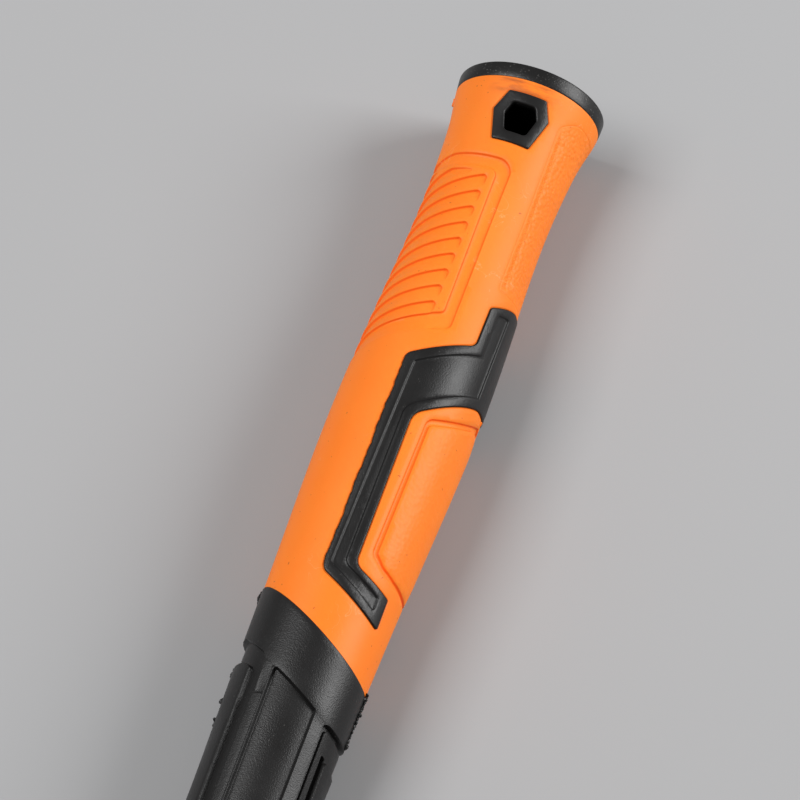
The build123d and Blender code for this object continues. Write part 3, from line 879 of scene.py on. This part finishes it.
def in_sleeve(flat):
    return ((np.abs(flat[:, 1]) < SIDE) & (flat[:, 0] > CAP_LENGTH) & (inside_by(flat, grip_end) < 0)
            & (inside_by(flat, inlay_ring) < 0) & (inside_by(flat, bezel_ring) < 0))


def sleeve_grain(flat):
    strip = 1.2 * np.clip((inside_by(flat, strip_ring) - 0.6) / 0.8, 0, 1)
    pad = 0.35 * np.clip(inside_by(flat, pad_ring) / 0.8, 0, 1)
    return np.maximum(strip, pad)


sleeve_spacing = [(1.3, zone(0, 200)), (0.8, (26, -28, 82, 0))]
sleeve = moulding("grip_shell_moulding", sleeve_lines, in_sleeve, sleeve_spacing, grip_features, 0.0,
                  GRIP_WALL, sleeve_grain)

sleeve_orange, tree, shader = new_material("thermoplastic_rubber_orange_satin")
place = add_node(tree, "ShaderNodeTexCoord").outputs["Object"]
cloud = add_node(tree, "ShaderNodeTexNoise", {"Vector": place, "Scale": 45.0, "Detail": 3.0})
tone = add_node(tree, "ShaderNodeMix", {0: cloud, 6: linear("#F97A1C"), 7: linear("#FE8626")},
                data_type="RGBA")
# Painted shade: the walls of creases are painted a deeper orange, for the self-shadow and the light caught
# between their sides
crease_shade = add_node(tree, "ShaderNodeAttribute", attribute_name="crease_shade").outputs["Fac"]
share = add_node(tree, "ShaderNodeMath", {0: crease_shade, 1: 0.6}, operation="MULTIPLY")
shade = add_node(tree, "ShaderNodeMix", {0: share, 6: tone.outputs[2], 7: linear("#FF5206")},
                 data_type="RGBA")


def band(value, start, full, full_end, end):
    """1 between full and full_end, falling to 0 at start and end."""
    rise = add_node(tree, "ShaderNodeMapRange", {"Value": value, "From Min": start, "From Max": full})
    fall = add_node(tree, "ShaderNodeMapRange",
                    {"Value": value, "From Min": full_end, "From Max": end, "To Min": 1.0, "To Max": 0.0})
    return add_node(tree, "ShaderNodeMath", {0: rise, 1: fall}, operation="MULTIPLY")


# Handling smudges under the middle of the cap
along, across = add_node(tree, "ShaderNodeSeparateXYZ", {"Vector": place}).outputs[:2]
drawn = add_node(tree, "ShaderNodeMapping", {"Vector": place, "Scale": (420.0, 120.0, 120.0)})
smear = add_node(tree, "ShaderNodeTexNoise", {"Vector": drawn, "Scale": 1.0, "Detail": 5.0})
smudge = add_node(tree, "ShaderNodeMapRange", {"Value": smear, "From Min": 0.38, "From Max": 0.58})
for zone_share in (band(along, 4.3 * MM, 5.2 * MM, 6.8 * MM, 10.0 * MM),
                   band(across, -9.0 * MM, -5.0 * MM, 8.0 * MM, 12.0 * MM)):
    smudge = add_node(tree, "ShaderNodeMath", {0: smudge, 1: zone_share}, operation="MULTIPLY")
# Pale hair scratches in loose groups, and a few dark pits
lines = add_node(tree, "ShaderNodeTexNoise",
                 {"Vector": place, "Scale": 150.0, "Detail": 2.0, "Distortion": 1.2})
groups = add_node(tree, "ShaderNodeTexNoise", {"Vector": place, "Scale": 55.0, "Detail": 1.0})
groups = add_node(tree, "ShaderNodeMapRange", {"Value": groups, "From Min": 0.6, "From Max": 0.7})
hairs = add_node(tree, "ShaderNodeMath", {0: band(lines, 0.494, 0.498, 0.502, 0.506), 1: groups},
                 operation="MULTIPLY")
pits = add_node(tree, "ShaderNodeTexNoise", {"Vector": place, "Scale": 900.0, "Detail": 1.0})
pits = add_node(tree, "ShaderNodeMapRange", {"Value": pits, "From Min": 0.755, "From Max": 0.78})
for mark, strength, colour in ((smudge, 0.6, "#7A3A1C"), (hairs, 0.3, "#FFC08A"), (pits, 0.55, "#9A4416")):
    share = add_node(tree, "ShaderNodeMath", {0: mark, 1: strength}, operation="MULTIPLY")
    shade = add_node(tree, "ShaderNodeMix", {0: share, 6: shade.outputs[2], 7: linear(colour)},
                     data_type="RGBA")
sheen = add_node(tree, "ShaderNodeMapRange",
                 {"Value": cloud, "From Min": 0.3, "From Max": 0.7, "To Min": 0.45, "To Max": 0.55})
# A fine moulded tooth all over, with round pebbles on the grained strip
fine = add_node(tree, "ShaderNodeTexNoise", {"Vector": place, "Scale": 2200.0, "Detail": 2.0})
tooth = add_node(tree, "ShaderNodeBump", {"Height": fine, "Distance": 0.02 * MM})
cells = add_node(tree, "ShaderNodeTexVoronoi", {"Vector": place, "Scale": 850.0}, feature="F1")
strip = add_node(tree, "ShaderNodeAttribute", attribute_name="grain").outputs["Fac"]
pebble = add_node(tree, "ShaderNodeMath", {0: strip, 1: cells.outputs["Distance"]}, operation="MULTIPLY")
pebbled = add_node(tree, "ShaderNodeBump", {"Height": pebble, "Distance": 0.22 * MM, "Normal": tooth},
                   invert=True)
set_inputs(shader, {
    "Base Color": shade.outputs[2], "Roughness": sheen, "Normal": pebbled, "Specular IOR Level": 0.27,
    "Subsurface Weight": 0.12, "Subsurface Radius": (1.0, 0.35, 0.1), "Subsurface Scale": 1.0 * MM})
fit(sleeve, sleeve_orange, "grip_orange", "grip_shell")

# ------------------------------------ mould flash
# Ragged crumbs of black plastic that squeezed out along the seam between the mould's
# halves: by the collar on the adze's side, and at the collar's and rail's left corners. Two
# small bits of orange did the same.
BLACK_RUNS = [(172.8, 187.2, 1), (155.9, 158.9, -1), (176.9, 179.0, -1), (185.0, 186.0, -1),
              (190.5, 192.0, -1)]
ORANGE_RUNS = [(5.9, 7.6, -1), (94.6, 95.6, 1)]
BLACK_LIFT = 0.32
ORANGE_LIFT = -0.1
CRUMBS = {"Spacing": 0.4 * MM, "Smallest": 0.22 * MM, "Largest": 0.75 * MM, "Seed": 11}
crumb_tree = bpy.data.node_groups.new("flash_crumbs", "GeometryNodeTree")
for label, kind in (("Geometry", "Geometry"), ("Spacing", "Float"), ("Smallest", "Float"),
                    ("Largest", "Float"), ("Seed", "Int"), ("Plastic", "Material")):
    crumb_tree.interface.new_socket(label, in_out="INPUT", socket_type="NodeSocket" + kind)
crumb_tree.interface.new_socket("Geometry", in_out="OUTPUT", socket_type="NodeSocketGeometry")


def step(kind, values=None, **settings):
    """A node of the crumbs' tree: its outputs."""
    return add_node(crumb_tree, kind, values, **settings).outputs


given = step("NodeGroupInput")
seam = step("GeometryNodeMeshToCurve", {"Mesh": given["Geometry"]})[0]
beads = step("GeometryNodeResampleCurve", {"Curve": seam, "Length": given["Spacing"]}, mode="LENGTH")[0]
crumb = step("GeometryNodeMeshIcoSphere", {"Radius": 1.0, "Subdivisions": 2})[0]
tumble = step("FunctionNodeRandomValue", {"Max": (6.28, 6.28, 6.28), "Seed": given["Seed"]},
              data_type="FLOAT_VECTOR")[0]
girth = step("FunctionNodeRandomValue", {2: given["Smallest"], 3: given["Largest"], "Seed": given["Seed"]},
             data_type="FLOAT")[1]
squeeze = step("FunctionNodeRandomValue",
               {"Min": (0.7, 0.7, 0.35), "Max": (1.3, 1.1, 0.8), "Seed": given["Seed"]},
               data_type="FLOAT_VECTOR")[0]
shape = step("ShaderNodeVectorMath", {0: squeeze, "Scale": girth}, operation="SCALE")[0]
scattered = step("GeometryNodeInstanceOnPoints",
                 {"Points": beads, "Instance": crumb, "Rotation": tumble, "Scale": shape})[0]
joined = step("GeometryNodeRealizeInstances", {"Geometry": scattered})[0]
painted = step("GeometryNodeSetMaterial", {"Geometry": joined, "Material": given["Plastic"]})[0]
step("NodeGroupOutput", {"Geometry": painted})


def mould_flash(name, runs, lift, material):
    """Crumbs along runs of the handle's side lines: each is its start, its end and its side."""
    points, edges = [], []
    for start, end, side in runs:
        for x in np.linspace(start, end, 8):
            if x != start:
                edges.append((len(points) - 1, len(points)))
            y = float(drift(x)) + side * (float(half_width(x)) + lift)
            points.append((x * MM, y * MM, 0.25 * MM))
    mesh = bpy.data.meshes.new(name)
    mesh.from_pydata(points, edges, [])
    flash = placed(name, mesh)
    crumbs = flash.modifiers.new("crumbs", "NODES")
    crumbs.node_group = crumb_tree
    for label, value in (*CRUMBS.items(), ("Plastic", material)):
        crumbs[crumb_tree.interface.items_tree[label].identifier] = value
    bake(flash)
    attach(flash, "root")


mould_flash("mould_flash", BLACK_RUNS, BLACK_LIFT, jacket_black)
mould_flash("mould_flash_orange", ORANGE_RUNS, ORANGE_LIFT, sleeve_orange)

# ------------------------------------ neck guard
# Soft black ring between the jacket and the head, with three shallow grooves round it
# and a hexagon bore that the bar passes through.
GUARD_LENGTH = 14.0
GUARD_PROUD = 1.6
GUARD_ROUNDING = 2.6
GROOVE_DEPTH = 0.9
GROOVE_HALF_WIDTH = 0.8
GROOVE_PLACES = (4.0, 7.0, 10.0)
guard_start, guard_end = JACKET_LENGTH, JACKET_LENGTH + GUARD_LENGTH


def guard_growth(x):
    """How far the guard stands out past the jacket's skin at x: rounded ends and three grooves."""
    near = min(x - guard_start, guard_end - x, GUARD_ROUNDING)
    rounded = GUARD_ROUNDING - max(0.0, GUARD_ROUNDING ** 2 - (GUARD_ROUNDING - near) ** 2) ** 0.5
    offsets = [(x - guard_start - middle) / GROOVE_HALF_WIDTH for middle in GROOVE_PLACES]
    groove = sum(max(0.0, 1 - offset ** 2) for offset in offsets)
    return GUARD_PROUD - rounded - GROOVE_DEPTH * groove


turn = np.linspace(0, 2 * pi, 180, endpoint=False)
guard_places = np.concatenate([np.linspace(guard_start, guard_start + 1, 5),
                               np.linspace(guard_start + 1.2, guard_end - 1.2, 60),
                               np.linspace(guard_end - 1, guard_end, 5)])
guard_rings = [oval_ring(x, guard_growth(x), turn) for x in guard_places]
guard_rings += [hexagon_ring(x, CORE_FLATS, turn) for x in (guard_end, guard_start)]
guard = from_rings("neck_guard_moulding", guard_rings, closed=True, sharp=SHARP_ANGLE)
guard_black = black_plastic("soft_rubber_black_matt", "#181717", 0.58, 0.5, 0.05)
fit(guard, guard_black, "guard_black", "neck_guard")

# ------------------------------------ head and fork
# Closed-die steel forgings, blackened with heat, with rounded edges everywhere. The adze's
# edge, the pike's point and the fork's tips are ground bright.
SOFTEN_ROUNDS = 14
# An edge that stands this far out of its rounded surroundings is rubbed bare (mm)
FULL_WEAR = 0.16


def forging(name, node, grain_mm, ground_at):
    """A CAD node's shape with forged, rounded edges; ground_at gives how far places are ground bright."""
    piece = placed(name, cad[node].data.copy())
    piece.matrix_world = cad[node].matrix_world.copy()
    voxels = piece.modifiers.new("voxels", "REMESH")
    voxels.mode, voxels.voxel_size, voxels.use_smooth_shade = "VOXEL", grain_mm * MM, True
    soften = piece.modifiers.new("soften", "SMOOTH")
    soften.factor, soften.iterations = 0.5, SOFTEN_ROUNDS
    bake(piece)
    mesh = piece.data
    mesh.transform(piece.matrix_world)
    piece.matrix_world = Matrix.Identity(4)
    count = len(mesh.vertices)
    places, normals = np.zeros((count, 3)), np.zeros((count, 3))
    mesh.vertices.foreach_get("co", places.ravel())
    mesh.vertices.foreach_get("normal", normals.ravel())
    edges = np.zeros((len(mesh.edges), 2), np.int64)
    mesh.edges.foreach_get("vertices", edges.ravel())
    calm = places.copy()
    for sweep in range(4):
        total = np.zeros_like(calm)
        links = np.zeros(count)
        for a, b in ((0, 1), (1, 0)):
            np.add.at(total, edges[:, a], calm[edges[:, b]])
            np.add.at(links, edges[:, a], 1)
        calm = total / links[:, None]
    bulge = np.einsum("ij,ij->i", places - calm, normals) / MM
    for label, values in (("wear", np.clip(bulge / FULL_WEAR, 0, 1)), ("ground", ground_at(places / MM))):
        layer = mesh.attributes.new(label, "FLOAT", "POINT")
        layer.data.foreach_set("value", values.astype(np.float32))
    return piece


def forged_steel(name):
    """Blackened forged steel: scale texture, rubbed edges and ground faces with fine brush lines."""
    material, tree, shader = new_material(name)
    place = add_node(tree, "ShaderNodeTexCoord").outputs["Object"]
    ground = add_node(tree, "ShaderNodeAttribute", attribute_name="ground").outputs["Fac"]
    wear = add_node(tree, "ShaderNodeAttribute", attribute_name="wear").outputs["Fac"]
    patches = add_node(tree, "ShaderNodeTexNoise", {"Vector": place, "Scale": 160.0, "Detail": 5.0})
    skin = add_node(tree, "ShaderNodeMix", {0: patches, 6: linear("#3A3836"), 7: linear("#54514E")},
                    data_type="RGBA")
    worn = add_node(tree, "ShaderNodeMath", {0: wear, 1: patches}, operation="MULTIPLY")
    worn = add_node(tree, "ShaderNodeMapRange", {"Value": worn, "From Min": 0.27, "From Max": 0.56})
    for share, colour in ((worn, "#7F7C78"), (ground, "#B9B7B3")):
        skin = add_node(tree, "ShaderNodeMix", {0: share, 6: skin.outputs[2], 7: linear(colour)},
                        data_type="RGBA")
    sheen = add_node(tree, "ShaderNodeMapRange", {"Value": ground, "To Min": 0.5, "To Max": 0.27})
    drawn = add_node(tree, "ShaderNodeMapping", {"Vector": place, "Scale": (4000.0, 150.0, 150.0)})
    lines = add_node(tree, "ShaderNodeTexNoise", {"Vector": drawn, "Scale": 1.0, "Detail": 2.0})
    brushed = add_node(tree, "ShaderNodeMath", {0: lines, 1: ground}, operation="MULTIPLY")
    scale = add_node(tree, "ShaderNodeBump", {"Height": patches, "Distance": 0.18 * MM})
    normal = add_node(tree, "ShaderNodeBump",
                      {"Height": brushed, "Distance": 0.02 * MM, "Normal": scale})
    set_inputs(shader, {"Base Color": skin.outputs[2], "Metallic": 1.0, "Roughness": sheen,
                        "Normal": normal})
    return material


def beyond(level, blend=0.25):
    """1 past a level and 0 before it, over a thin blend (mm)."""
    return lambda values: np.clip((values - level) / blend + 0.5, 0, 1)


ADZE_GROUND = 79.0
PIKE_GROUND = 80.0
FORK_GROUND = 398.0
head = forging("adze_pike_head_forging", "adze_pike_head", 0.6,
               lambda p: np.maximum(beyond(ADZE_GROUND)(p[:, 1]), beyond(PIKE_GROUND)(p[:, 2])))
head_steel = forged_steel("forged_steel_black_oxide_head")
fit(head, head_steel, "head_steel", "adze_pike_head")
fork = forging("fork_forging", "fork", 0.45, lambda p: beyond(FORK_GROUND)(p[:, 0]))
fork_steel = forged_steel("forged_steel_black_oxide_fork")
fit(fork, fork_steel, "fork_steel", "fork")

# ------------------------------------ bar and pins
# The hexagon bar inside the handle is cold drawn and oiled; the roll pins are spring
# steel with a dull blue-grey temper. Their CAD shapes stay.
def drawn_steel(name, colour, roughness, brush):
    """Bare steel with fine lines along one axis and a little uneven sheen."""
    material, tree, shader = new_material(name)
    place = add_node(tree, "ShaderNodeTexCoord").outputs["Object"]
    cloud = add_node(tree, "ShaderNodeTexNoise", {"Vector": place, "Scale": 300.0, "Detail": 3.0})
    skin = add_node(tree, "ShaderNodeMix", {0: cloud, 6: linear(colour), 7: linear("#8E8D8B")},
                    data_type="RGBA")
    sheen = add_node(tree, "ShaderNodeMapRange",
                     {"Value": cloud, "To Min": roughness - 0.06, "To Max": roughness + 0.08})
    drawn = add_node(tree, "ShaderNodeMapping", {"Vector": place, "Scale": brush})
    lines = add_node(tree, "ShaderNodeTexNoise", {"Vector": drawn, "Scale": 1.0, "Detail": 2.0})
    normal = add_node(tree, "ShaderNodeBump", {"Height": lines, "Distance": 0.015 * MM})
    set_inputs(shader, {"Base Color": skin.outputs[2], "Metallic": 1.0, "Roughness": sheen,
                        "Normal": normal})
    return material


bar_steel = drawn_steel("cold_drawn_steel_oiled", "#6E6D6B", 0.34, (90.0, 3000.0, 3000.0))
pin_steel = drawn_steel("spring_steel_dull_temper", "#5F6267", 0.4, (2500.0, 2500.0, 200.0))
for node, material in (("core_bar", bar_steel), ("head_pins", pin_steel), ("fork_pins", pin_steel)):
    for slot in cad[node].material_slots:
        slot.material = material
